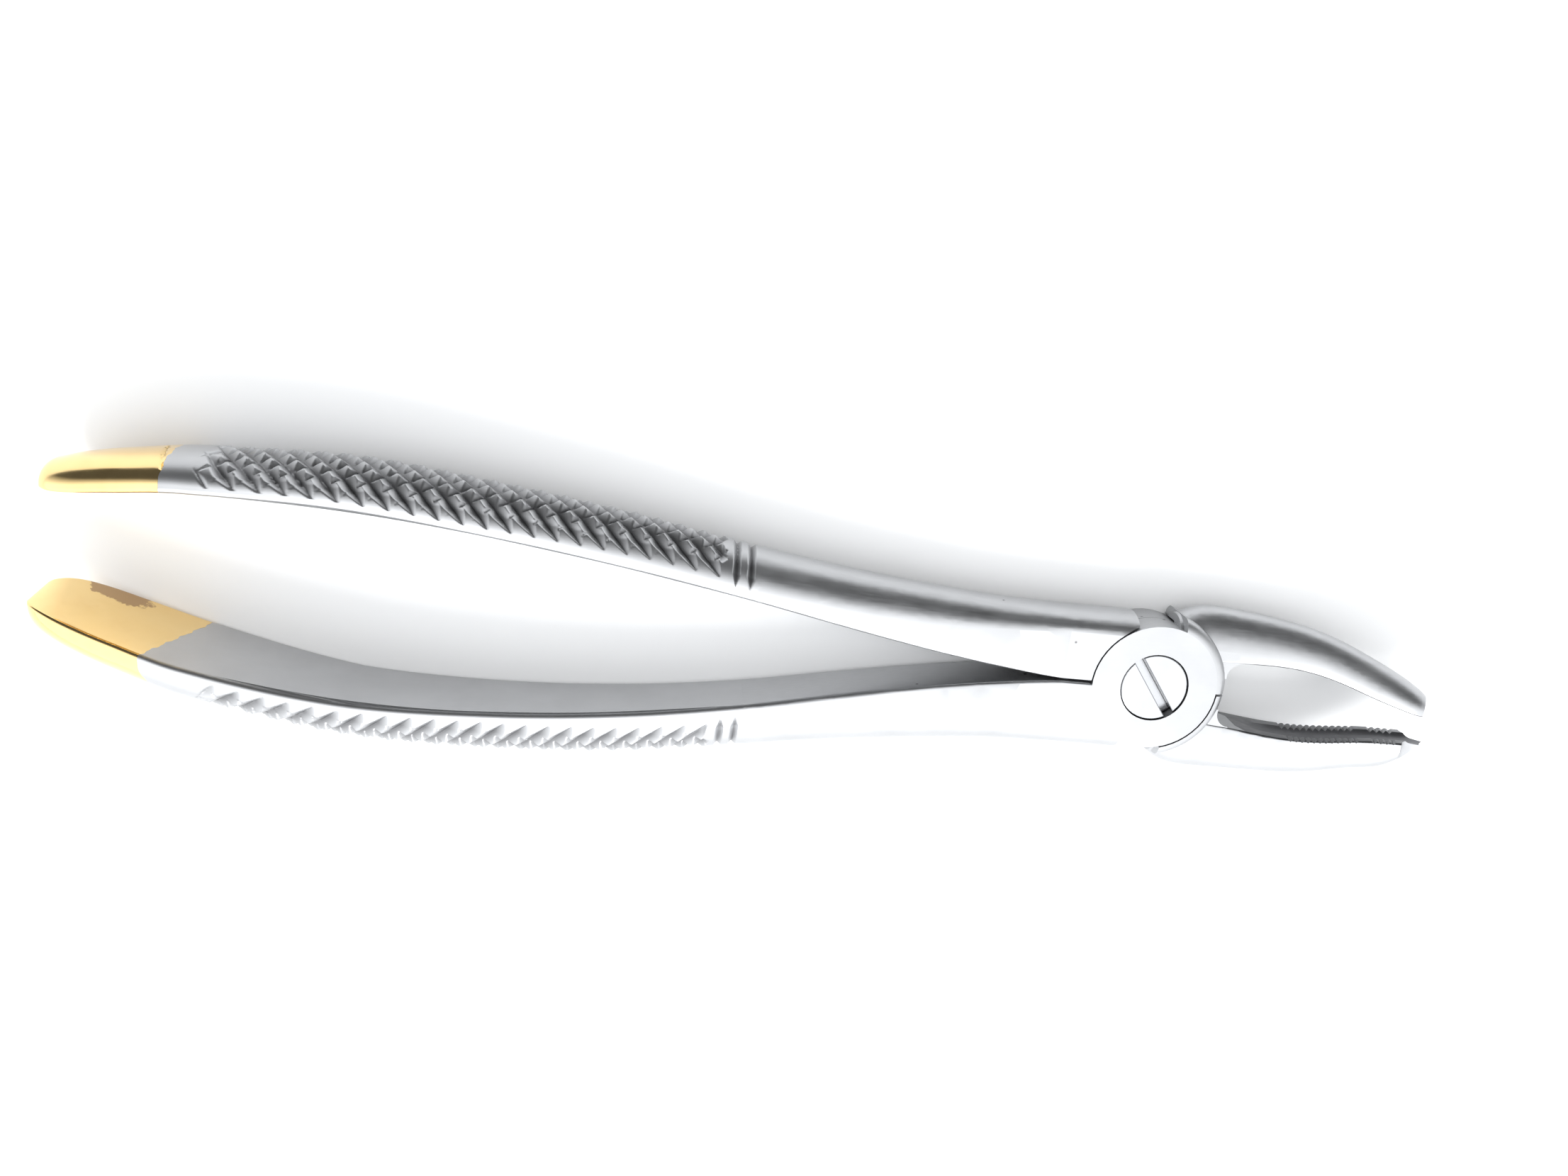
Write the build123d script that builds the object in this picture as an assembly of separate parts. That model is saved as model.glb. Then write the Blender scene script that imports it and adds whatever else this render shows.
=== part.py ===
from build123d import *
import math
import os

# Extraction forceps: two forged arms that cross at a lap joint and turn on a slotted shoulder screw.
# Origin: on the joint's axis, in the joint's flat rear face. +X runs from the joint to the beak tips,
# +Z from the rear face to the face with the screw head. Lengths in millimetres, angles in degrees.

# Joint
joint_thickness = 8.0
lap_plane = joint_thickness / 2
lap_gap = 0.08
disc_radius = 8.1
socket_gap = 0.2
stop_gap = 0.15
handle_shoulder_x = -3.15
beak_shoulder_x = 2.5
collar_radius = 9.6
collar_rounding = 1.5

# Screw
head_radius = 4.3
head_height = 2.1
head_recess = 0.12
counterbore_gap = 0.12
shank_radius = 2.5
shank_clearance = 0.05
thread_radius = 2.2
slot_width = 1.25
slot_depth = 1.5
slot_angle = -53.0

# Handles: stations along the arm, from the joint to the end.
# x, half the gap between the handles, thickness across the grip, width, height of the straight flank, corner
block_end_x = -12.0
section_spacing = 6.0
section_count = 20
front_gold_border = (-120.6, -15.6)
rear_gold_border = (-119.9, 0.0)
lean_start_x = -45.0
lean_rate = 0.00064
twist_start_x = -100.0
twist_rate = 0.22
handle_stations = [
    (-12.0, 0.15, 8.6, 8.0, 6.3, 0.3),
    (-20.0, 0.95, 8.0, 8.1, 5.0, 0.4),
    (-30.0, 2.45, 7.3, 8.6, 3.5, 0.5),
    (-40.0, 4.3, 6.5, 9.1, 2.3, 0.6),
    (-52.0, 6.7, 5.8, 9.8, 1.4, 0.6),
    (-66.0, 9.0, 5.7, 10.9, 1.1, 0.6),
    (-82.0, 10.8, 5.4, 12.2, 1.0, 0.6),
    (-100.0, 11.7, 5.1, 13.8, 1.0, 0.6),
    (-118.0, 10.4, 4.8, 14.4, 1.0, 0.6),
    (-126.0, 8.9, 4.7, 13.2, 1.0, 0.5),
    (-130.5, 7.9, 4.5, 12.0, 0.9, 0.5),
    (-133.4, 7.3, 4.0, 9.8, 0.8, 0.4),
    (-135.2, 7.1, 3.1, 6.6, 0.6, 0.3),
    (-136.0, 7.2, 1.3, 2.8, 0.3, 0.15),
]
end_stretch_x = -118.0
end_stretch = {-1: 1.055, 1: 0.95}
front_extra = 0.6
front_extra_rate = 0.0075
front_extra_limit = 1.1
rear_beak_extra = 0.6
ring_groove_x = (-52.5, -54.3)
ring_groove_width = 0.5
ring_groove_depth = 0.3
ring_slab = (20.0, 20.0)

# Beaks: they lie along a line turned by beak_heading and curve upwards on an arc.
# x, inner face, outer crown, width, height of the straight flank
beak_heading = -2.0
curve_start_x = 8.0
curve_radius = 60.0
beak_corner = 0.25
beak_stations = [
    (2.2, 4.0, 9.0, 6.6, 1.8),
    (6.0, 4.1, 10.5, 6.8, 1.6),
    (10.5, 4.3, 10.5, 6.7, 1.4),
    (15.0, 4.6, 10.2, 6.6, 1.2),
    (20.0, 4.6, 9.6, 6.6, 1.1),
    (25.0, 3.8, 8.3, 6.5, 1.0),
    (29.0, 2.8, 6.8, 6.4, 0.9),
    (32.0, 2.2, 5.5, 6.3, 0.8),
]
gouge_end = [(33.6, 1.9, 4.6, 5.8, 0.7), (34.4, 1.8, 4.0, 4.8, 0.5)]
prong_end = [(34.2, 1.8, 3.6, 6.1, 0.7), (36.0, 1.6, 2.3, 5.6, 0.35)]
gullet_radius = 1.8
tooth_count = 18
tooth_pitch = 0.76
tooth_height = 0.28
tooth_crest = 0.12
mouth_rise = 0.06
tooth_start_x = 20.0
channel_radius = 2.4
channel_depth = 0.75
channel_start_x = 15.0
channel_start_inner = 4.6
channel_full_x = 17.0
prong_start_x = 33.0
prong_shoulder = ((0, 3.2), (0.4, 1.9), (1.4, 1.15))
prong_edge = ((1.4, 1.15), (2.6, 0.85), (3.2, 0.3), (6.0, 0.2), (6.0, 6.0), (0, 6.0), (0, 3.2))
prong_cut_height = 14.0


def lean(x):
    """In-plane sideways bend of both handles: it starts past lean_start_x and grows with its square."""
    return lean_rate * max(lean_start_x - x, 0.0) ** 2


def twist(x):
    """Turn of the grip's section, in degrees: past twist_start_x the inner faces close towards the rear."""
    return twist_rate * max(twist_start_x - x, 0.0)


def stretched(side, x):
    """x of a section past end_stretch_x, where the front arm's end is longer than the rear arm's."""
    return x + (1 - end_stretch[side]) * max(end_stretch_x - x, 0.0)


def extra_thickness(side, x):
    """The front arm's handle is thicker across the grip than the rear arm's, more so away from the joint."""
    return min(front_extra - front_extra_rate * x, front_extra_limit) if side < 0 else 0.0


def between(stations, x):
    """Station at x on the smooth curve through the driving stations, which run towards smaller x."""
    last = len(stations) - 1
    index = min(sum(1 for row in stations[1:] if row[0] > x), last - 1)
    before, start, end, after = (stations[min(max(index + step, 0), last)] for step in (-1, 0, 1, 2))
    span = end[0] - start[0]
    share = (x - start[0]) / span
    row = []
    for a, b, c, d in zip(before, start, end, after):
        slope_b = (c - a) / (end[0] - before[0]) * span
        slope_c = (d - b) / (after[0] - start[0]) * span
        bend = 2 * (b - c) + slope_b + slope_c
        row.append(b + share * (slope_b + share * (3 * (c - b) - 2 * slope_b - slope_c + share * bend)))
    return (x, *row[1:])


def beak_plane(x):
    """Plane square to the beak's centre line: local x runs outwards, local y towards the front."""
    run = max(x - curve_start_x, 0.0)
    rise = curve_radius - math.sqrt(curve_radius ** 2 - run ** 2)
    tilt = math.asin(run / curve_radius)
    return Plane(origin=(x, 0, lap_plane + rise), x_dir=(0, 1, 0), z_dir=(math.cos(tilt), 0, math.sin(tilt)))


def d_section(plane, inner, thickness, width, flank, corner):
    """Closed D: flat inner face with rounded corners, two straight flanks and a half-ellipse crown.

    The plane's local x runs outwards and its local y runs across the width."""
    half = width / 2
    base = inner + flank
    edges = [
        Line((inner, corner - half), (inner, half - corner)),
        CenterArc((inner + corner, half - corner), corner, 180, -90),
        Line((inner + corner, half), (base, half)),
        EllipticalCenterArc((base, 0), thickness - flank, half, start_angle=-90, arc_size=180),
        Line((base, -half), (inner + corner, -half)),
        CenterArc((inner + corner, corner - half), corner, -90, -90),
    ]
    return plane * make_face(edges)


def handle_section(side, station_x, half_gap, thickness, width, flank, corner):
    x = stretched(side, station_x)
    turn = math.radians(twist(x))
    inner = half_gap + side * lean(x) - width / 2 * math.sin(turn)
    outwards = (0, math.cos(turn), -math.sin(turn))
    plane = Plane(origin=(x, inner, lap_plane), x_dir=outwards, z_dir=(1, 0, 0))
    return d_section(plane, 0, thickness + extra_thickness(side, x), width, flank, corner)


def on_side(shape, side):
    """The shape as modelled for side +1, mirrored to the other side of the XZ plane for side -1."""
    return shape if side > 0 else mirror(shape, about=Plane.XZ)


def ring_groove(side, x):
    """Groove round the crown and flanks at x: a thin slab less the section left inside the groove."""
    _, gap, thickness, width, flank, corner = between(handle_stations, x)
    depth = ring_groove_depth
    core = handle_section(side, x - ring_groove_width / 2, gap - 2, thickness + 2 - depth,
                          width - 2 * depth, flank + 2, corner)
    slab = Pos(x, gap + thickness / 2, lap_plane) * Box(ring_groove_width, *ring_slab)
    return slab - extrude(core, amount=ring_groove_width, dir=(1, 0, 0))


def handle(side):
    """Shank and grip of one arm on the given side of the XZ plane, gold end included."""
    even_x = [block_end_x - step * section_spacing for step in range(section_count)]
    stations = [between(handle_stations, x) for x in even_x]
    stations += [station for station in handle_stations if station[0] < even_x[-1] - 1]
    sections = [handle_section(side, *station) for station in stations]
    block = extrude(sections[0], amount=handle_shoulder_x - block_end_x, dir=(1, 0, 0))
    body = loft(sections) + block
    for x in ring_groove_x:
        body -= ring_groove(side, x)
    return on_side(body, side)


def beak_section(x, inner, outer, width, flank):
    return d_section(beak_plane(x), inner, outer - inner, width, flank, beak_corner)


def gullet():
    """Web that rounds the corner between the collar and the beak's inner face."""
    floor = beak_stations[2][1]
    reach = collar_radius + gullet_radius
    centre_y = floor - gullet_radius
    centre_x = math.sqrt(reach ** 2 - centre_y ** 2)
    on_collar = Vector(centre_x, centre_y) * (collar_radius / reach)
    start = (on_collar.X, on_collar.Y)
    angle = math.degrees(math.atan2(on_collar.Y - centre_y, on_collar.X - centre_x)) % 360
    edges = [
        CenterArc((centre_x, centre_y), gullet_radius, 90, angle - 90),
        Polyline(start, (collar_radius - 2, on_collar.Y), (collar_radius - 2, floor + 1),
                 (centre_x, floor + 1), (centre_x, floor)),
    ]
    width = beak_stations[2][3] - 0.1
    return extrude(Pos(0, 0, lap_plane - width / 2) * make_face(edges), amount=width)


def teeth(stations):
    """V-grooves across both lands of a beak's inner face."""
    toothed = [(x, inner) for x, inner, *_ in stations if x >= tooth_start_x]
    line = Spline(*[beak_plane(x).from_local_coords((inner, 0, 0)) for x, inner in toothed])
    grooves = []
    for index in range(tooth_count):
        place = index * tooth_pitch / line.length
        along = line.tangent_at(place)
        across = along.cross(Vector(0, 1, 0)).normalized()
        plane = Plane(origin=line.position_at(place), x_dir=along, z_dir=across)
        outward = 1 if plane.y_dir.Y > 0 else -1
        half_mouth = (tooth_pitch - tooth_crest) * (1 + mouth_rise / tooth_height) / 2
        mouth = (-half_mouth, -mouth_rise * outward)
        triangle = Polyline(mouth, (0, tooth_height * outward), (half_mouth, mouth[1]), mouth)
        grooves.append(extrude(plane * make_face(triangle), amount=5, both=True))
    return grooves


def channel(stations):
    """Lengthwise hollow between the lands, running out towards the joint."""
    offset = channel_radius - channel_depth
    centres = [(channel_start_x, channel_start_inner - channel_radius)]
    centres += [(x, inner - offset) for x, inner, *_ in stations if x > channel_full_x]
    path = Spline(*[beak_plane(x).from_local_coords((y, 0, 0)) for x, y in centres])
    start = Plane(origin=path @ 0, z_dir=path % 0)
    return sweep(start * Circle(channel_radius), path=path)


def prong_cuts():
    """Two cutters that end the lands and leave the middle prong."""
    base = beak_plane(prong_start_x)
    plan = Plane(origin=base.origin, x_dir=base.z_dir, z_dir=(0, 1, 0))
    cutters = []
    for way in (1, -1):
        shoulder = [(along, across * way) for along, across in prong_shoulder]
        edge = [(along, across * way) for along, across in prong_edge]
        outline = make_face([ThreePointArc(*shoulder), Polyline(*edge)])
        cutters.append(extrude(plan * outline, amount=prong_cut_height))
    return cutters


def beak(side, end_stations, cutters):
    """One beak with its share of the collar round the joint."""
    extra = rear_beak_extra if side < 0 else 0.0
    widened = [(x, inner, outer + extra, width, flank) for x, inner, outer, width, flank in beak_stations]
    stations = widened + end_stations
    collar = Pos(0, 0, lap_plane) * Cylinder(collar_radius, joint_thickness)
    collar = fillet(collar.edges(), collar_rounding)
    quarter = Pos(beak_shoulder_x, stop_gap, -5) * Box(30, 30, 30, align=(Align.MIN, Align.MIN, Align.MIN))
    body = loft([beak_section(*station) for station in stations])
    body = body + (collar & quarter) + gullet()
    body = body.cut(channel(stations), *teeth(stations), *cutters)
    return Rot(0, 0, beak_heading) * on_side(body, side)


def layer(radius, low, high):
    """Cylinder on the joint's axis between two heights."""
    return Pos(0, 0, (low + high) / 2) * Cylinder(radius, high - low)


def arm(side, beak_body, disc_low, disc_high, socket_low, socket_high):
    """Whole forging: handle on one side, beak on the other, with its disc in one half of the joint."""
    blank = handle(side) + beak_body
    blank -= layer(disc_radius + socket_gap, socket_low, socket_high)
    return blank + layer(disc_radius, disc_low, disc_high)


def split_gold_end(body, border_x, border_slant):
    """The plated end beyond the border and the rest of the arm."""
    end = Box(60, 80, 60, align=(Align.MAX, Align.CENTER, Align.CENTER))
    cutter = Pos(border_x, 0, lap_plane) * Rot(0, border_slant, 0) * end
    return body & cutter, body - cutter


def joint_screw():
    """Shoulder screw: slotted head in the front arm, shank through it, thread in the rear arm."""
    top = joint_thickness - head_recess
    under_head = joint_thickness - head_height
    screw = layer(head_radius, under_head, top)
    screw += layer(shank_radius, lap_plane - lap_gap / 2, under_head)
    screw += layer(thread_radius, head_recess, lap_plane - lap_gap / 2)
    screw = fillet(screw.edges().group_by(Axis.Z)[-1], 0.15)
    slot = Pos(0, 0, top) * Rot(0, 0, slot_angle) * Box(3 * head_radius, slot_width, 2 * slot_depth)
    return screw - slot


def front_arm_body():
    low = lap_plane + lap_gap / 2
    body = arm(-1, beak(1, gouge_end, []), low, joint_thickness, -20, low)
    body -= layer(shank_radius + shank_clearance, low - 1, joint_thickness)
    return body - layer(head_radius + counterbore_gap, joint_thickness - head_height, joint_thickness + 1)


def rear_arm_body():
    high = lap_plane - lap_gap / 2
    body = arm(1, beak(-1, prong_end, prong_cuts()), 0, high, high, 40)
    return body - layer(thread_radius, -1, high + 1)


os.makedirs("parts", exist_ok=True)
front_gold, front_steel = split_gold_end(front_arm_body(), *front_gold_border)
rear_gold, rear_steel = split_gold_end(rear_arm_body(), *rear_gold_border)
nodes = {
    "front_arm": front_steel,
    "rear_arm": rear_steel,
    "joint_screw": joint_screw(),
    "front_handle_gold_end": front_gold,
    "rear_handle_gold_end": rear_gold,
}
for name, shape in nodes.items():
    export_step(shape, f"parts/{name}.step")
    print(name, "volume", round(shape.volume, 1))
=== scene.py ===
import math

import bmesh
import bpy
import numpy as np
from mathutils import Matrix, Vector


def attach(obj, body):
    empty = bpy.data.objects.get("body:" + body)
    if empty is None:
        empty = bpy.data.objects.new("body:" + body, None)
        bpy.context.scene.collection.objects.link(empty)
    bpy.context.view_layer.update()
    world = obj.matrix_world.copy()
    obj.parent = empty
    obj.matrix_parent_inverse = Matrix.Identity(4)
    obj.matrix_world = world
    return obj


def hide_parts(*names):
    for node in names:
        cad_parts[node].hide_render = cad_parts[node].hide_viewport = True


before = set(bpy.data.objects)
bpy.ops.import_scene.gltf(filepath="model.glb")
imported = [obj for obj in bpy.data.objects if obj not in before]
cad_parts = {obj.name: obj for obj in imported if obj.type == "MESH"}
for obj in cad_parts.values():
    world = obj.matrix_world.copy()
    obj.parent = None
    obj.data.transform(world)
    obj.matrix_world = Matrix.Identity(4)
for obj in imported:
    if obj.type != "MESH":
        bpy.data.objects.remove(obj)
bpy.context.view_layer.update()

MM = 0.001

# Handle stations, in millimetres, from the joint to the end of the handle: x, half the gap between the
# handles, thickness across the grip, width, height of the straight flank, radius of the inner corners.
HANDLE_STATIONS = np.array([
    (-12.0, 0.15, 8.6, 8.0, 6.3, 0.3),
    (-20.0, 0.95, 8.0, 8.1, 5.0, 0.4),
    (-30.0, 2.45, 7.3, 8.6, 3.5, 0.5),
    (-40.0, 4.3, 6.5, 9.1, 2.3, 0.6),
    (-52.0, 6.7, 5.8, 9.8, 1.4, 0.6),
    (-66.0, 9.0, 5.7, 10.9, 1.1, 0.6),
    (-82.0, 10.8, 5.4, 12.2, 1.0, 0.6),
    (-100.0, 11.7, 5.1, 13.8, 1.0, 0.6),
    (-118.0, 10.4, 4.8, 14.4, 1.0, 0.6),
    (-126.0, 8.9, 4.7, 13.2, 1.0, 0.5),
    (-130.5, 7.9, 4.5, 12.0, 0.9, 0.5),
    (-133.4, 7.3, 4.0, 10.1, 0.8, 0.4),
    (-135.2, 7.1, 3.1, 7.4, 0.6, 0.3),
    (-136.0, 7.2, 1.3, 4.4, 0.3, 0.15),
])
END_STRETCH_X = -118.0
END_STRETCH = {-1: 1.055, 1: 0.95}
FRONT_EXTRA = 0.59
FRONT_EXTRA_RATE = 0.0075
FRONT_EXTRA_LIMIT = 1.09
MID_HEIGHT = 4.0
LEAN_START_X = -45.0
LEAN_RATE = 0.00064
TWIST_START_X = -100.0
TWIST_RATE = 0.22

# Columns of a handle's skin on each part of the D, samples of an arc's length, and the angles, in degrees,
# past which two faces meet in a corner
CROWN_COLUMNS = 112
FLAT_COLUMNS = 40
FLANK_COLUMNS = 14
CORNER_COLUMNS = 5
ARC_SAMPLES = 33
SKIN_CORNER = 38
FORGING_CORNER = 28
LEVEL_NORMAL = 0.99995
MERGE_DISTANCE = 0.002

# Ring grooves at the start of the grip
GRIP_START_X = -51.6
RING_X = (-52.5, -54.3)
RING_DEPTH = 0.55
RING_OPENING = 0.95
RING_LAND = 1.2
RING_RUNOUT = 1.6

# Knurling: where it starts, ends and fades, its rows, and the plain land along the inner edges
KNURL_START_X = -55.3
KNURL_START_FADE = 1.0
KNURL_END_X = -117.0
KNURL_END_FADE = 3.5
KNURL_PITCH = 2.85
KNURL_ROWS = 507
ROWS_PER_CUT = 22
BORDER_ROWS = 8
SLANT_NEAR_RINGS_X = (-62.0, -52.0)
SLANT_NEAR_END_X = (-116.5, -105.0)
LAND = 0.9
LAND_GROWTH = 1.1
LAND_GROWTH_X = (-90, -60)
DEEP_SLOPE = 0.75
DEEP_CUT = 0.85
DEEP_OPENING = 1.62
DEEP_RUNOUT = 1.7
DEEP_RUNOUT_POWER = 0.7
CROSS_SLOPE = 0.9
CROSS_CUT = 0.82
CROSS_OPENING = 1.2
CROSS_LAND = 0.7
CROSS_RUNOUT = 2.6
UNEVEN_SHARE = 0.1

# Plated ends: border's x and slant in degrees, waves of its unevenness (height, rate, start), rows, end dome
GOLD_BORDERS = {"front": (-120.6, -15.6), "rear": (-119.9, 0.0)}
BORDER_WAVES = ((0.1, 2.3, 0), (0.07, 5.1, 1))
PLATED_ROWS = 140
PLATED_ROW_POWER = 0.8
TIP_X = -135.97
DOME_LENGTH = 0.35
DOME_ROWS = 10
DOME_TIP_SHARE = 0.04

# Nick beside the border of the rear arm's plated end
NICK_X = -121.6
NICK_SLOPE = 0.22
NICK_DEPTH = 0.22
NICK_OPENING = 1.1
NICK_LAND = 0.9
NICK_RUNOUT = 1.2
NICK_FRONT_RUNOUT = 1.5

# Painted shade: darkening inside the beaks, on the walls of the screw's slot, along its rims and round the
# head's edge
BEAK_SHADE_X = 12.5
BEAK_SHADE_NORMAL = 0.35
SLOT_REACH = 4.25
SLOT_FLOOR_Z = 6.3
SLOT_WALL_NORMAL = 0.3
SLOT_ANGLE = -53.0
SLOT_WIDTH = 1.25
RIM_SHADE = (0.05, 0.12)
HEAD_EDGE = (4.12, 4.22)
RIM_SHADE_SHARE = 0.75

# Colours
STEEL_DIM = (0.46, 0.465, 0.475)
STEEL_BRIGHT = (0.56, 0.565, 0.575)
PAPER_WHITE = (0.72, 0.725, 0.73, 1)
SKY_WHITE = (0.97, 0.985, 1.0, 1)

# Brown stain on the front arm's plated end: its centre and the inverse of its half lengths, in metres
STAIN_CENTRE = (-0.1287, -0.0018, -0.0016)
STAIN_SQUEEZE = (265.0, 250.0, 385.0)

# Floor: two points of its slope as x and z in millimetres, and its half width in metres
FLOOR_LOW = (-120, -3.45)
FLOOR_HIGH = (9, -0.02)
FLOOR_HALF_WIDTH = 1.6

# Light: the sky's strength falls from bright to dim between two directions in y. Lamps in metres.
SKY_LIGHT = 1.95
DARK_SIDE = 0.1
BRIGHT_TO = -0.1
DARK_FROM = 0.45
LAMP_AIM = (-0.05, 0, 0)
WINDOW_PLACE = (-0.1, -0.55, 0.6)
WINDOW_SIZE = 0.3
WINDOW_WATTS = 4.6
FILL_PLACE = (-0.05, 0.3, 0.45)
FILL_SIZE = 0.5
FILL_WATTS = 2.1

# Camera: place in millimetres, direction of view, its right-hand side, lens
CAMERA_PLACE = (-63.88, 50.33, 156.28)
CAMERA_FORWARD = (0.1003, -0.2695, -0.9578)
CAMERA_RIGHT = (0.9907, 0.1157, 0.0712)
CAMERA_LENS = 29.38
SENSOR_WIDTH = 36.0
NEAREST_SEEN = 0.01


def station_values(x, side):
    """Handle dimensions at x: a cubic through the stations with Catmull-Rom slopes, for a whole array of x.

    The front arm's handle is thicker by an amount that grows in a line up to a limit."""
    knots = -HANDLE_STATIONS[:, 0]
    last = len(knots) - 1
    place = np.clip(np.searchsorted(knots, -x, side="right") - 1, 0, last - 1)
    rows = [HANDLE_STATIONS[np.clip(place + step, 0, last)] for step in (-1, 0, 1, 2)]
    before, start, end, after = rows
    span = end[..., :1] - start[..., :1]
    share = (x[..., None] - start[..., :1]) / span
    slope_start = (end - before) / (end[..., :1] - before[..., :1]) * span
    slope_end = (after - start) / (after[..., :1] - start[..., :1]) * span
    bend = 2 * (start - end) + slope_start + slope_end
    middle = 3 * (end - start) - 2 * slope_start - slope_end
    values = start + share * (slope_start + share * (middle + share * bend))
    if side < 0:
        values[..., 2] += np.minimum(FRONT_EXTRA - FRONT_EXTRA_RATE * x, FRONT_EXTRA_LIMIT)
    return [values[..., column] for column in range(1, 6)]


def section_parameters():
    """Walk once round a D section: which edge each column is on, and how far along that edge, 0 to 1.

    Edges: 0 the inner flat, 1 a corner arc, 2 a flank, 3 the crown, 4 a flank, 5 a corner arc."""
    counts = (FLAT_COLUMNS, CORNER_COLUMNS, FLANK_COLUMNS, CROWN_COLUMNS, FLANK_COLUMNS, CORNER_COLUMNS)
    edges = np.concatenate([np.full(count, edge) for edge, count in enumerate(counts)])
    shares = np.concatenate([np.arange(count) / count for count in counts])
    return edges, shares


def d_section(values, edge, share):
    """Point on the D: inner flat, corner arc, flank, half-ellipse crown, flank, corner arc.

    Returns outward distance, height across the width and the outward normal, all as arrays."""
    _, thickness, width, flank, corner = values
    half = width / 2
    turn = share * math.pi / 2
    crown_angle = (share - 0.5) * math.pi
    crown = thickness - flank
    straight = flank - corner
    zero = np.zeros_like(half)
    out = np.select(
        [edge == 0, edge == 1, edge == 2, edge == 3, edge == 4, edge == 5],
        [zero, corner * (1 - np.cos(turn)), corner + straight * share, flank + crown * np.cos(crown_angle),
         flank - straight * share, corner * (1 - np.sin(turn))])
    across = np.select(
        [edge == 0, edge == 1, edge == 2, edge == 3, edge == 4, edge == 5],
        [(half - corner) * (1 - 2 * share), -(half - corner) - corner * np.sin(turn), -half,
         half * np.sin(crown_angle), half, half - corner * (1 - np.cos(turn))])
    normal_out = np.where(edge == 3, half * np.cos(crown_angle), zero)
    normal_across = np.where(edge == 3, crown * np.sin(crown_angle), np.sign(across))
    length = np.hypot(normal_out, normal_across) + 1e-9
    return out, across, normal_out / length, normal_across / length


def handle_points(side, x, edge, share, cut=0.0, shrink=1.0):
    """Points of a handle's skin in metres: the D section at x, turned by the twist and moved by the lean.

    cut sinks a point along the section's normal; shrink draws the section in about its own middle."""
    values = station_values(x, side)
    x = x + (1 - END_STRETCH[side]) * np.maximum(END_STRETCH_X - x, 0)
    gap, thickness, width = values[:3]
    out, across, normal_out, normal_across = d_section(values, edge, share)
    out = out - cut * normal_out
    across = across - cut * normal_across
    out = thickness / 2 + (out - thickness / 2) * shrink
    across = across * shrink
    turn = np.radians(TWIST_RATE * np.maximum(TWIST_START_X - x, 0))
    lean = LEAN_RATE * np.maximum(LEAN_START_X - x, 0) ** 2
    inner = gap + side * lean - width / 2 * np.sin(turn)
    y = inner + out * np.cos(turn) + across * np.sin(turn)
    z = MID_HEIGHT - out * np.sin(turn) + across * np.cos(turn)
    return np.stack([x, side * y, z], axis=-1) * MM


def grid_faces(rows, columns):
    """Quads of a grid that closes round its columns, plus one cap at each end."""
    row, column = np.meshgrid(np.arange(rows - 1), np.arange(columns), indexing="ij")
    after = (column + 1) % columns
    quads = np.stack([row * columns + column, row * columns + after,
                      (row + 1) * columns + after, (row + 1) * columns + column], axis=-1).reshape(-1, 4)
    caps = [list(range(columns))[::-1], list(range((rows - 1) * columns, rows * columns))]
    return quads.tolist() + caps


def mesh_piece(name, points, faces):
    """Mesh object from points and faces, with smooth faces, outward normals and sharp edges kept."""
    mesh = bpy.data.meshes.new(name)
    mesh.from_pydata(points.reshape(-1, 3).tolist(), [], faces)
    work = bmesh.new()
    work.from_mesh(mesh)
    bmesh.ops.recalc_face_normals(work, faces=work.faces)
    work.to_mesh(mesh)
    work.free()
    mesh.shade_smooth()
    mesh.set_sharp_from_angle(angle=math.radians(SKIN_CORNER))
    piece = bpy.data.objects.new(name, mesh)
    bpy.context.scene.collection.objects.link(piece)
    return piece


def border_x(which, side, across):
    """Station x of the plating's border at a height across the width: a slanted line, a little uneven.

    The unevenness is a sum of sines of the height."""
    x, slant = GOLD_BORDERS[which]
    ragged = sum(height * np.sin(across * rate + begin) for height, rate, begin in BORDER_WAVES)
    x = x + math.tan(math.radians(slant)) * across + ragged
    return END_STRETCH_X + (x - END_STRETCH_X) / END_STRETCH[side]


def smooth_step(value, low, high):
    """0 below low, 1 above high, and the cubic 3t^2 - 2t^3 between them."""
    t = np.clip((value - low) / (high - low), 0, 1)
    return t * t * (3 - 2 * t)


def skin_arc(values, edge, share):
    """Distance along the skin from the crown's top, positive towards the front, and from the inner flat.

    On the crown it is the ellipse's arc length, a trapezoid sum of its speed; the flanks add theirs."""
    _, thickness, width, flank, corner = values
    angle = np.select([edge == 3, edge > 3], [(share - 0.5) * math.pi, math.pi / 2], -math.pi / 2)
    shares = np.linspace(0, 1, ARC_SAMPLES)[:, None, None]
    speed = np.hypot((thickness - flank) * np.sin(shares * angle), width / 2 * np.cos(shares * angle))
    crown = angle * (speed.sum(axis=0) - (speed[0] + speed[-1]) / 2) / (ARC_SAMPLES - 1)
    straight = flank - corner
    down = np.select([edge == 2, edge == 4, edge == 3],
                     [straight * (1 - share), straight * share, 0.0], straight)
    to_edge = np.where(edge == 3, flank + (thickness - flank) * np.cos(angle), flank - down)
    return crown + np.sign(crown) * down, to_edge


def v_cuts(phase, pitch, depth, opening):
    """Row of V-cuts: each is depth deep in its bottom and opening wide per unit of depth, so a shallow cut
    is also a narrow one and runs out in a point."""
    reach = np.abs(np.mod(phase / pitch, 1) - 0.5) * pitch
    return np.maximum(depth - reach / opening, 0)


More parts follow.
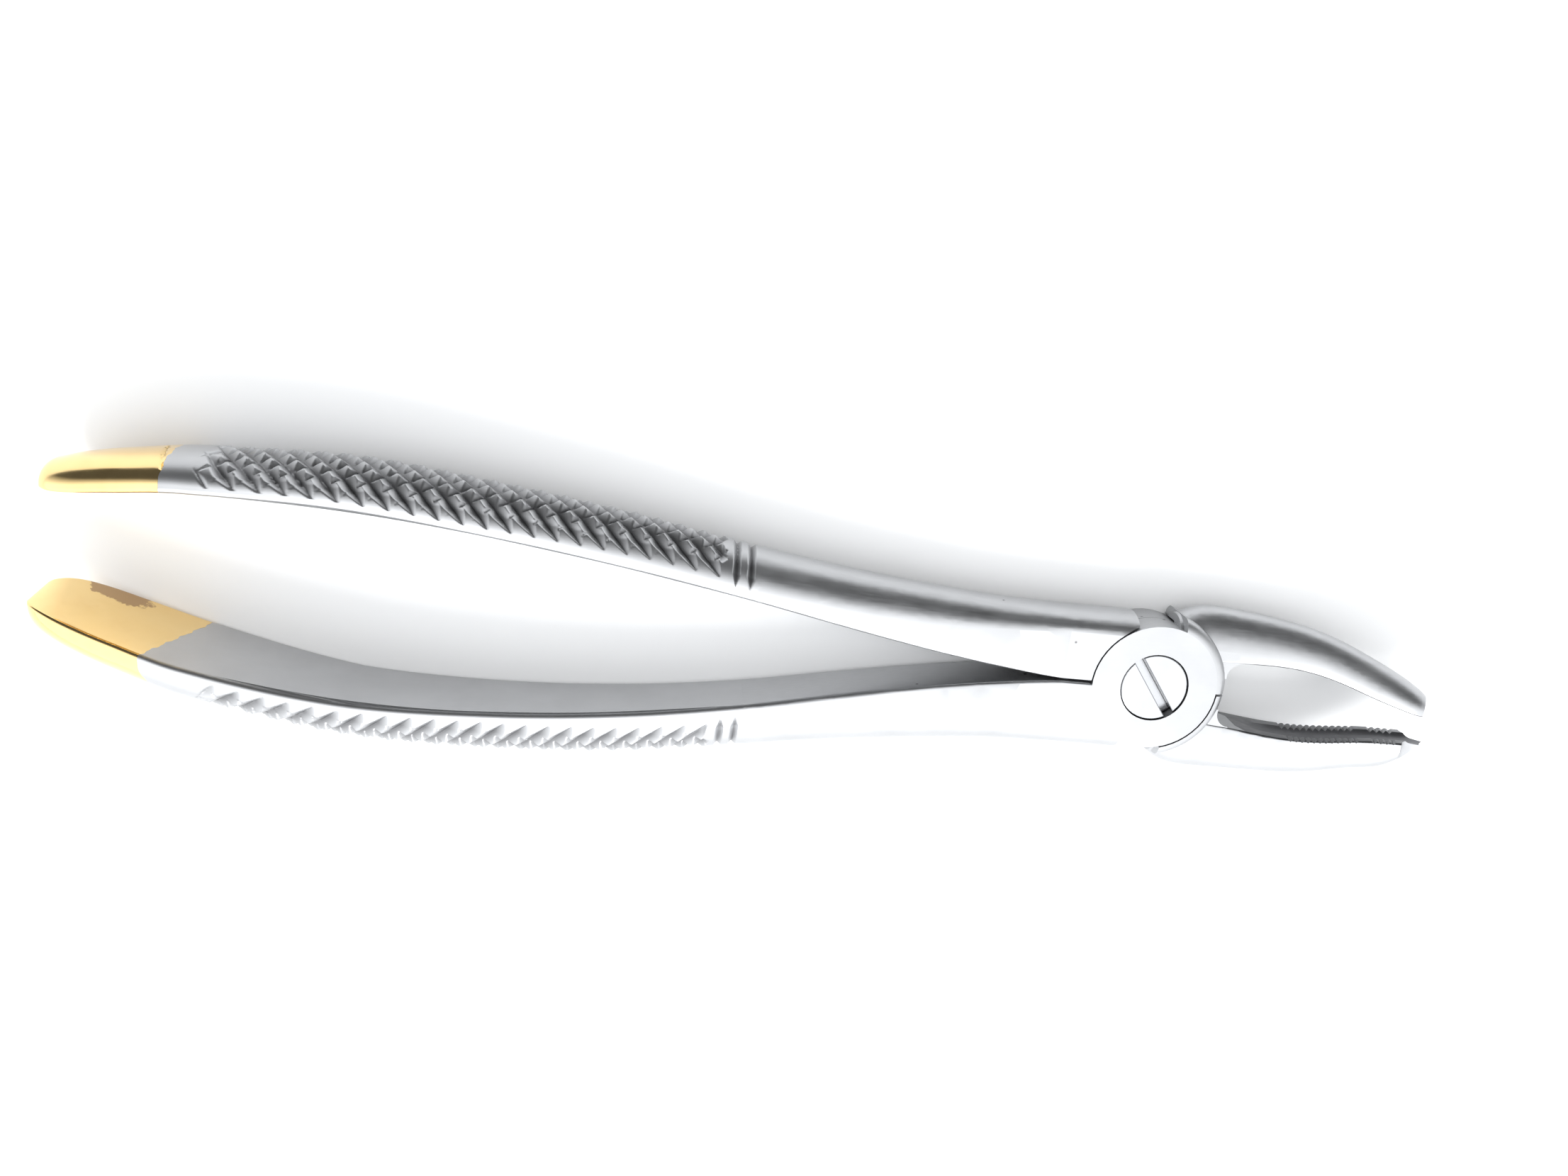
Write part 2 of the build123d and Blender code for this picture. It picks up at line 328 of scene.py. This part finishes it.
def grip_cut(side, x, arc, edge, share):
    """Depth cut into the skin: deep slanted cuts, shallower ones that cross them, and two ring grooves."""
    _, to_edge = skin_arc(station_values(x, side), edge, share)
    fade = smooth_step(x, KNURL_END_X, KNURL_END_X + KNURL_END_FADE)
    fade = fade * (1 - smooth_step(x, KNURL_START_X - KNURL_START_FADE, KNURL_START_X))
    land = LAND + LAND_GROWTH * smooth_step(x, *LAND_GROWTH_X)
    uneven = 1 + UNEVEN_SHARE * np.sin(x * 1.7) * np.sin(arc * 0.8 + x * 0.3)
    deep_reach = np.clip((to_edge - land) / DEEP_RUNOUT, 0, 1) ** DEEP_RUNOUT_POWER * fade
    cross_reach = np.clip((to_edge - land - CROSS_LAND) / CROSS_RUNOUT, 0, 1) * fade
    deep = v_cuts(x - GRIP_START_X - DEEP_SLOPE * arc, KNURL_PITCH, DEEP_CUT * deep_reach, DEEP_OPENING)
    cross = v_cuts(x + CROSS_SLOPE * arc, KNURL_PITCH, CROSS_CUT * cross_reach * uneven, CROSS_OPENING)
    cut = np.maximum(deep, cross)
    for ring in RING_X:
        depth = RING_DEPTH * np.clip((to_edge - RING_LAND) / RING_RUNOUT, 0, 1)
        cut = np.maximum(cut, depth - np.abs(x - ring) / RING_OPENING)
    return np.where((edge >= 2) & (edge <= 4), cut, 0.0)


def knurled_grip(which, side):
    """Grip from the first ring groove to the plating's border: the handle's skin sunk by grip_cut.

    Its rows follow the deep cuts: x = row x + slope * arc, easing to plain rings towards both ends."""
    edge, share = section_parameters()
    edge, share = edge[None, :], share[None, :]
    row_x = GRIP_START_X - np.arange(KNURL_ROWS)[:, None] * KNURL_PITCH / ROWS_PER_CUT + 0 * share
    all_edge, all_share = np.broadcast_to(edge, row_x.shape), np.broadcast_to(share, row_x.shape)
    arc, _ = skin_arc(station_values(row_x, side), all_edge, all_share)
    slanted = (1 - smooth_step(row_x, *SLANT_NEAR_RINGS_X)) * smooth_step(row_x, *SLANT_NEAR_END_X)
    x = row_x + DEEP_SLOPE * arc * slanted
    _, across, _, _ = d_section(station_values(row_x[-1:], side), edge, share)
    run = np.linspace(0, 1, BORDER_ROWS + 1)[1:, None]
    x = np.vstack([x, x[-1:] * (1 - run) + border_x(which, side, across) * run])
    arc = np.vstack([arc, np.repeat(arc[-1:], len(run), axis=0)])
    edge, share = np.broadcast_to(edge, x.shape), np.broadcast_to(share, x.shape)
    cut = grip_cut(side, x, arc, edge, share)
    points = handle_points(side, x, edge, share, cut)
    piece = mesh_piece(f"{which}_grip", points, grid_faces(*x.shape))
    depth = piece.data.attributes.new("cut_depth", "FLOAT", "POINT")
    depth.data.foreach_set("value", (cut / DEEP_CUT).astype(np.float32).ravel())
    return piece


def plated_end(which, side):
    """Plated end of a handle: the same skin from the border to the tip, closed by a small dome.

    The rear arm's has one nick, a V-cut in the skin that runs out towards the edge and the crown's top."""
    edge, share = section_parameters()
    edge, share = edge[None, :], share[None, :]
    flat = np.full((1, edge.shape[1]), GOLD_BORDERS[which][0])
    _, across, _, _ = d_section(station_values(flat, side), edge, share)
    run = np.linspace(0, 1, PLATED_ROWS)[:, None] ** PLATED_ROW_POWER
    shoulder = TIP_X + DOME_LENGTH
    x = border_x(which, side, across) * (1 - run) + shoulder * run
    turn = np.linspace(0, math.pi / 2, DOME_ROWS + 1)[1:, None]
    dome_x = shoulder - DOME_LENGTH * np.sin(turn) + 0 * across
    shrink = np.vstack([np.ones_like(x), np.maximum(np.cos(turn), DOME_TIP_SHARE) + 0 * across])
    x = np.vstack([x, dome_x])
    edge, share = np.broadcast_to(edge, x.shape), np.broadcast_to(share, x.shape)
    cut = np.zeros_like(x)
    if which == "rear":
        arc, to_edge = skin_arc(station_values(x, side), edge, share)
        reach = np.clip((to_edge - NICK_LAND) / NICK_RUNOUT, 0, 1) * np.clip(arc / NICK_FRONT_RUNOUT, 0, 1)
        nick = NICK_DEPTH * reach * (edge <= 4) - np.abs(x - NICK_X - NICK_SLOPE * arc) / NICK_OPENING
        cut = np.maximum(nick, 0)
    points = handle_points(side, x, edge, share, cut, shrink)
    return mesh_piece(f"{which}_plated_end", points, grid_faces(*x.shape))


def merged_copy(node, name):
    """Mesh of a CAD node as one joined skin, in a new object."""
    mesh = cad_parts[node].data.copy()
    mesh.name = name
    mesh.materials.clear()
    piece = bpy.data.objects.new(name, mesh)
    bpy.context.scene.collection.objects.link(piece)
    work = bmesh.new()
    work.from_mesh(mesh)
    bmesh.ops.remove_doubles(work, verts=work.verts, dist=MERGE_DISTANCE * MM)
    return piece, work


def keep_flats(work):
    """Marks sharp every corner and the whole border of every flat, so that flats shade as flats."""
    turned = math.radians(FORGING_CORNER)
    for edge in work.edges:
        faces = edge.link_faces
        if len(faces) != 2:
            edge.smooth = False
            continue
        angle = faces[0].normal.angle(faces[1].normal, 0)
        levels = [abs(face.normal.z) > LEVEL_NORMAL for face in faces]
        edge.smooth = angle < turned and levels[0] == levels[1]
    for face in work.faces:
        face.smooth = True


def mark_faces(piece, name, chosen):
    """Face attribute that is 1 on the chosen faces and 0 elsewhere."""
    marked = piece.data.attributes.new(name, "FLOAT", "FACE")
    values = np.array([chosen(face) for face in piece.data.polygons], dtype=np.float32)
    marked.data.foreach_set("value", values)


def forged_half(which):
    """Joint, beak and shank of one arm, up to where its grip begins."""
    piece, work = merged_copy(f"{which}_arm", f"{which}_forging")
    everything = work.verts[:] + work.edges[:] + work.faces[:]
    cut = bmesh.ops.bisect_plane(work, geom=everything, plane_co=(GRIP_START_X * MM, 0, 0),
                                 plane_no=(1, 0, 0), clear_inner=True)
    rim = [item for item in cut["geom_cut"] if isinstance(item, bmesh.types.BMEdge)]
    bmesh.ops.contextual_create(work, geom=rim)
    keep_flats(work)
    work.to_mesh(piece.data)
    work.free()
    inward = -1 if which == "front" else 1
    # Painted shade: faces past the beak's root that face the other beak are marked, to be darkened as the
    # shade between the beaks
    mark_faces(piece, "beak_painted_shade", lambda face: (
        face.center.x > BEAK_SHADE_X * MM and face.normal.y * inward > BEAK_SHADE_NORMAL))
    return piece


def turned_screw():
    """Joint screw with its slot."""
    piece, work = merged_copy("joint_screw", "slotted_screw")
    keep_flats(work)
    work.to_mesh(piece.data)
    work.free()
    # Painted shade: the walls of the screw's slot are marked, to be painted near black as the shade inside
    # the slot
    mark_faces(piece, "slot_painted_shade", lambda face: (
        math.hypot(*face.center.xy) < SLOT_REACH * MM and face.center.z > SLOT_FLOOR_Z * MM
        and abs(face.normal.z) < SLOT_WALL_NORMAL))
    return piece


def shader_group(name, inputs, outputs):
    """Empty node group with float or colour sockets: names to kinds."""
    group = bpy.data.node_groups.new(name, "ShaderNodeTree")
    for way, sockets in (("INPUT", inputs), ("OUTPUT", outputs)):
        for label, kind in sockets.items():
            group.interface.new_socket(label, in_out=way, socket_type=kind)
    start = group.nodes.new("NodeGroupInput")
    end = group.nodes.new("NodeGroupOutput")
    return group, start, end


def add_node(tree, kind, links=None, **settings):
    """New node with its settings and socket values. links: an input's name or number to an output socket."""
    node = tree.nodes.new(kind)
    for key, value in settings.items():
        if hasattr(node, key):
            setattr(node, key, value)
        else:
            node.inputs[key].default_value = value
    for key, source in (links or {}).items():
        tree.links.new(source, node.inputs[key])
    return node


def math_node(tree, operation, first, second, clamp=False):
    """Math node on two sockets or numbers."""
    node = add_node(tree, "ShaderNodeMath", operation=operation, use_clamp=clamp)
    for index, value in enumerate((first, second)):
        if isinstance(value, (int, float)):
            node.inputs[index].default_value = value
        else:
            tree.links.new(value, node.inputs[index])
    return node.outputs[0]


def range_node(tree, value, low, high, new_low, new_high):
    """Value stretched from the span low to high to the span new_low to new_high, and clamped there."""
    node = add_node(tree, "ShaderNodeMapRange", {"Value": value})
    for label, number in (("From Min", low), ("From Max", high), ("To Min", new_low), ("To Max", new_high)):
        node.inputs[label].default_value = number
    return node.outputs["Result"]


def mix_colours(tree, factor, first, second):
    """Colour between two colours or sockets."""
    node = add_node(tree, "ShaderNodeMix", data_type="RGBA")
    factor_in, first_in, second_in = node.inputs[0], node.inputs[6], node.inputs[7]
    for socket, value in ((factor_in, factor), (first_in, first), (second_in, second)):
        if isinstance(value, (int, float)):
            socket.default_value = value
        elif isinstance(value, tuple):
            socket.default_value = (*value, 1.0)
        else:
            tree.links.new(value, socket)
    return node.outputs[2]


def polishing_marks():
    """Group for worked metal: lengthwise polishing streaks, soft cloudy patches, fine grain and tiny pits."""
    group, start, end = shader_group(
        "polishing_marks", {"Place": "NodeSocketVector"},
        {"Streaks": "NodeSocketFloat", "Clouds": "NodeSocketFloat", "Grain": "NodeSocketFloat",
         "Pits": "NodeSocketFloat"})
    place = start.outputs["Place"]
    stretched = add_node(group, "ShaderNodeMapping", {"Vector": place})
    stretched.inputs["Scale"].default_value = (0.08, 1.0, 1.0)
    streaks = add_node(group, "ShaderNodeTexNoise", {"Vector": stretched.outputs[0]},
                       Scale=3600.0, Detail=3.0)
    clouds = add_node(group, "ShaderNodeTexNoise", {"Vector": place}, Scale=170.0, Detail=4.0, Roughness=0.6)
    grain = add_node(group, "ShaderNodeTexNoise", {"Vector": place}, Scale=5200.0, Detail=2.0)
    cells = add_node(group, "ShaderNodeTexVoronoi", {"Vector": place}, Scale=330.0)
    speck = range_node(group, cells.outputs["Distance"], 0.05, 0.09, 1.0, 0.0)
    chosen = range_node(group, clouds.outputs[0], 0.56, 0.6, 0.0, 1.0)
    pits = math_node(group, "MULTIPLY", speck, chosen)
    for label, socket in (("Streaks", streaks.outputs[0]), ("Clouds", clouds.outputs[0]),
                          ("Grain", grain.outputs[0]), ("Pits", pits)):
        group.links.new(socket, end.inputs[label])
    return group


def metal_base(name, marks, roughness):
    """Material with a metal shader and the marks group on Object coordinates."""
    material = bpy.data.materials.new(name)
    material.use_nodes = True
    tree = material.node_tree
    shader = tree.nodes["Principled BSDF"]
    shader.inputs["Metallic"].default_value = 1.0
    shader.inputs["Roughness"].default_value = roughness
    place = add_node(tree, "ShaderNodeTexCoord").outputs["Object"]
    wear = add_node(tree, "ShaderNodeGroup", node_tree=marks)
    tree.links.new(place, wear.inputs["Place"])
    return material, tree, shader, place, wear


def bump(tree, shader, height, strength, distance):
    """Fine relief from a height, fed to the shader's normal."""
    node = add_node(tree, "ShaderNodeBump", {"Height": height}, Strength=strength, Distance=distance)
    tree.links.new(node.outputs["Normal"], shader.inputs["Normal"])


def satin_steel(marks):
    """Polished forging steel: cool grey, faint lengthwise streaks, cloudy roughness and a few pits."""
    material, tree, shader, _, wear = metal_base("satin_steel_polished", marks, 0.3)
    base = mix_colours(tree, wear.outputs["Clouds"], STEEL_DIM, STEEL_BRIGHT)
    # Painted shade: the marked inner faces of the beaks are darkened towards near black
    shade_mask = add_node(tree, "ShaderNodeAttribute", attribute_name="beak_painted_shade").outputs["Fac"]
    shade_painted = mix_colours(tree, math_node(tree, "MULTIPLY", shade_mask, 0.75), base, (0.08, 0.08, 0.085))
    pitted = mix_colours(tree, wear.outputs["Pits"], shade_painted, (0.12, 0.11, 0.11))
    tree.links.new(pitted, shader.inputs["Base Color"])
    streaky = range_node(tree, wear.outputs["Streaks"], 0.3, 0.7, -0.04, 0.05)
    cloudy = range_node(tree, wear.outputs["Clouds"], 0.3, 0.7, 0.36, 0.44)
    tree.links.new(math_node(tree, "ADD", streaky, cloudy), shader.inputs["Roughness"])
    relief = math_node(tree, "ADD", math_node(tree, "MULTIPLY", wear.outputs["Streaks"], 0.6),
                       math_node(tree, "MULTIPLY", wear.outputs["Grain"], 0.4))
    sunk = math_node(tree, "SUBTRACT", relief, wear.outputs["Pits"])
    bump(tree, shader, sunk, 0.12, 0.02 * MM)
    return material


def knurled_steel(marks):
    """Grip steel: the same metal, with painted shade darkening the cuts by their depth, and the ridges in the
    metal's plain colour.
    """
    material, tree, shader, _, wear = metal_base("knurled_steel", marks, 0.38)
    depth = add_node(tree, "ShaderNodeAttribute", attribute_name="cut_depth").outputs["Fac"]
    # Painted shade: the deeper a point lies in the cuts, the nearer its colour is to dark grey
    shade_painted = math_node(tree, "MULTIPLY", range_node(tree, depth, 0.05, 0.85, 0.0, 1.0),
                       range_node(tree, wear.outputs["Clouds"], 0.2, 0.8, 0.75, 1.0), clamp=True)
    base = mix_colours(tree, wear.outputs["Clouds"], STEEL_DIM, STEEL_BRIGHT)
    tree.links.new(mix_colours(tree, shade_painted, base, (0.17, 0.17, 0.175)), shader.inputs["Base Color"])
    rough = range_node(tree, shade_painted, 0.0, 1.0, 0.4, 0.42)
    tree.links.new(rough, shader.inputs["Roughness"])
    bump(tree, shader, wear.outputs["Grain"], 0.12, 0.02 * MM)
    return material


def gold_plate(marks):
    """Thin gold plating: warm yellow with browner patches where it is worn, and a soft uneven polish."""
    material, tree, shader, place, wear = metal_base("gold_plate", marks, 0.24)
    patches = add_node(tree, "ShaderNodeTexNoise", {"Vector": place}, Scale=260.0, Detail=5.0, Roughness=0.65)
    rubbed = range_node(tree, patches.outputs[0], 0.5, 0.8, 0.0, 0.22)
    edge_noise = range_node(tree, patches.outputs[0], 0.3, 0.7, -0.35, 0.35)
    spot = add_node(tree, "ShaderNodeVectorMath", {0: place}, operation="SUBTRACT")
    spot.inputs[1].default_value = STAIN_CENTRE
    squeezed = add_node(tree, "ShaderNodeVectorMath", {0: spot.outputs[0]}, operation="MULTIPLY")
    squeezed.inputs[1].default_value = STAIN_SQUEEZE
    length = add_node(tree, "ShaderNodeVectorMath", {0: squeezed.outputs[0]}, operation="LENGTH")
    span = length.outputs["Value"]
    stain = range_node(tree, math_node(tree, "ADD", span, edge_noise), 0.95, 1.02, 0.8, 0.0)
    base = mix_colours(tree, wear.outputs["Clouds"], (0.84, 0.6, 0.26), (0.92, 0.7, 0.35))
    worn = mix_colours(tree, rubbed, base, (0.7, 0.42, 0.16))
    stained = mix_colours(tree, stain, worn, (0.34, 0.21, 0.12))
    tree.links.new(stained, shader.inputs["Base Color"])
    tree.links.new(range_node(tree, wear.outputs["Clouds"], 0.3, 0.7, 0.1, 0.2), shader.inputs["Roughness"])
    bump(tree, shader, wear.outputs["Streaks"], 0.08, 0.02 * MM)
    return material


def rim_painted_shade(tree, place):
    """Painted shade mask that is 1 along the two rims of the screw's slot and round the head's edge, and 0
    elsewhere.
    """
    turn = math.radians(SLOT_ANGLE)
    off_axis = add_node(tree, "ShaderNodeVectorMath", {0: place}, operation="DOT_PRODUCT")
    off_axis.inputs[1].default_value = (-math.sin(turn), math.cos(turn), 0)
    aside = math_node(tree, "ABSOLUTE", off_axis.outputs["Value"], 0.0)
    from_rim = math_node(tree, "ABSOLUTE", math_node(tree, "SUBTRACT", aside, SLOT_WIDTH / 2 * MM), 0.0)
    slot = range_node(tree, from_rim, RIM_SHADE[0] * MM, RIM_SHADE[1] * MM, 1.0, 0.0)
    flat = add_node(tree, "ShaderNodeVectorMath", {0: place}, operation="MULTIPLY")
    flat.inputs[1].default_value = (1, 1, 0)
    radius = add_node(tree, "ShaderNodeVectorMath", {0: flat.outputs[0]}, operation="LENGTH").outputs["Value"]
    edge = range_node(tree, radius, HEAD_EDGE[0] * MM, HEAD_EDGE[1] * MM, 0.0, 1.0)
    return math_node(tree, "MAXIMUM", slot, edge)


def turned_steel(marks):
    """Screw steel: a little brighter and smoother, with fine concentric turning marks on its face."""
    material, tree, shader, place, wear = metal_base("turned_screw_steel", marks, 0.26)
    # Painted shade: the slot's walls, its rims and the head's edge are painted near black as the shade in the
    # slot and in the gap round the head
    shade_mask = add_node(tree, "ShaderNodeAttribute", attribute_name="slot_painted_shade").outputs["Fac"]
    clean = mix_colours(tree, wear.outputs["Clouds"], (0.48, 0.49, 0.51), (0.6, 0.61, 0.63))
    rims = math_node(tree, "MULTIPLY", rim_painted_shade(tree, place), RIM_SHADE_SHARE)
    shade_painted = math_node(tree, "MAXIMUM", shade_mask, rims)
    tree.links.new(mix_colours(tree, shade_painted, clean, (0.03, 0.03, 0.03)), shader.inputs["Base Color"])
    rings = add_node(tree, "ShaderNodeTexWave", {"Vector": place}, wave_type="RINGS", rings_direction="Z",
                     Scale=2600.0, Distortion=0.6, Detail=2.0)
    tree.links.new(range_node(tree, rings.outputs["Fac"], 0.0, 1.0, 0.22, 0.3), shader.inputs["Roughness"])
    bump(tree, shader, rings.outputs["Fac"], 0.03, 0.005 * MM)
    return material


def dress(piece, material, body, slot, *nodes):
    """Material, body and the CAD nodes that a piece stands for. The slot argument is not used."""
    piece.data.materials.append(material)
    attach(piece, body)
    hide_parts(*nodes)


def paper_floor():
    """Pale floor under the instrument: it touches the joint's rear face and the handles' rear edges."""
    low_x, low_z = FLOOR_LOW[0] * MM, FLOOR_LOW[1] * MM
    high_x, high_z = FLOOR_HIGH[0] * MM, FLOOR_HIGH[1] * MM
    slope = (high_z - low_z) / (high_x - low_x)
    reach = np.array([-FLOOR_HALF_WIDTH, FLOOR_HALF_WIDTH])
    x, y = np.meshgrid(reach, reach)
    z = high_z + (x - high_x) * slope
    points = np.stack([x, y, z], axis=-1)
    mesh = bpy.data.meshes.new("paper_floor")
    mesh.from_pydata(points.reshape(-1, 3).tolist(), [], [[0, 1, 3, 2]])
    floor = bpy.data.objects.new("paper_floor", mesh)
    bpy.context.scene.collection.objects.link(floor)
    material = bpy.data.materials.new("white_paper")
    material.use_nodes = True
    shader = material.node_tree.nodes["Principled BSDF"]
    shader.inputs["Base Color"].default_value = PAPER_WHITE
    shader.inputs["Roughness"].default_value = 0.7
    mesh.materials.append(material)


def soft_sky():
    """Room light: bright overhead and on the side of the front arm, dim low down on the rear arm's side."""
    world = bpy.data.worlds.new("soft_room")
    bpy.context.scene.world = world
    world.use_nodes = True
    tree = world.node_tree
    direction = add_node(tree, "ShaderNodeTexCoord").outputs["Generated"]
    parts = add_node(tree, "ShaderNodeSeparateXYZ", {"Vector": direction})
    level = range_node(tree, parts.outputs["Y"], BRIGHT_TO, DARK_FROM, SKY_LIGHT, DARK_SIDE)
    background = tree.nodes["Background"]
    tree.links.new(level, background.inputs["Strength"])
    background.inputs["Color"].default_value = SKY_WHITE


def soft_lamp(name, place, size, watts):
    """Square soft lamp at a place, pointed at the middle of the instrument."""
    lamp = bpy.data.lights.new(name, "AREA")
    lamp.size = size
    lamp.energy = watts
    holder = bpy.data.objects.new(name, lamp)
    holder.location = place
    holder.rotation_mode = "QUATERNION"
    holder.rotation_quaternion = (Vector(LAMP_AIM) - Vector(place)).to_track_quat("-Z", "Y")
    bpy.context.scene.collection.objects.link(holder)
    return holder


def bench_camera():
    """Camera held over the grips, looking down and slightly along the instrument."""
    forward = Vector(CAMERA_FORWARD).normalized()
    right = Vector(CAMERA_RIGHT)
    right = (right - forward * right.dot(forward)).normalized()
    up = right.cross(forward)
    camera = bpy.data.objects.new("bench_camera", bpy.data.cameras.new("bench_camera"))
    rows = [(right[axis], up[axis], -forward[axis], CAMERA_PLACE[axis] * MM) for axis in range(3)]
    camera.matrix_world = Matrix((*rows, (0, 0, 0, 1)))
    camera.data.lens = CAMERA_LENS
    camera.data.sensor_width = SENSOR_WIDTH
    camera.data.clip_start = NEAREST_SEEN
    bpy.context.scene.collection.objects.link(camera)
    bpy.context.scene.camera = camera


marks = polishing_marks()
steel, grip_steel = satin_steel(marks), knurled_steel(marks)
gold, screw_steel = gold_plate(marks), turned_steel(marks)
for which, side in (("front", -1), ("rear", 1)):
    body = f"{which}_half"
    dress(forged_half(which), steel, body, "satin_steel", f"{which}_arm")
    dress(knurled_grip(which, side), grip_steel, body, "satin_steel", f"{which}_arm")
    dress(plated_end(which, side), gold, body, "gold_plating", f"{which}_handle_gold_end")
dress(turned_screw(), screw_steel, "rear_half", "screw_steel", "joint_screw")
paper_floor()
soft_sky()
soft_lamp("window_lamp", WINDOW_PLACE, WINDOW_SIZE, WINDOW_WATTS)
fill = soft_lamp("fill_lamp", FILL_PLACE, FILL_SIZE, FILL_WATTS)
fill.visible_glossy = False
bench_camera()
bpy.context.scene.view_settings.view_transform = "Standard"
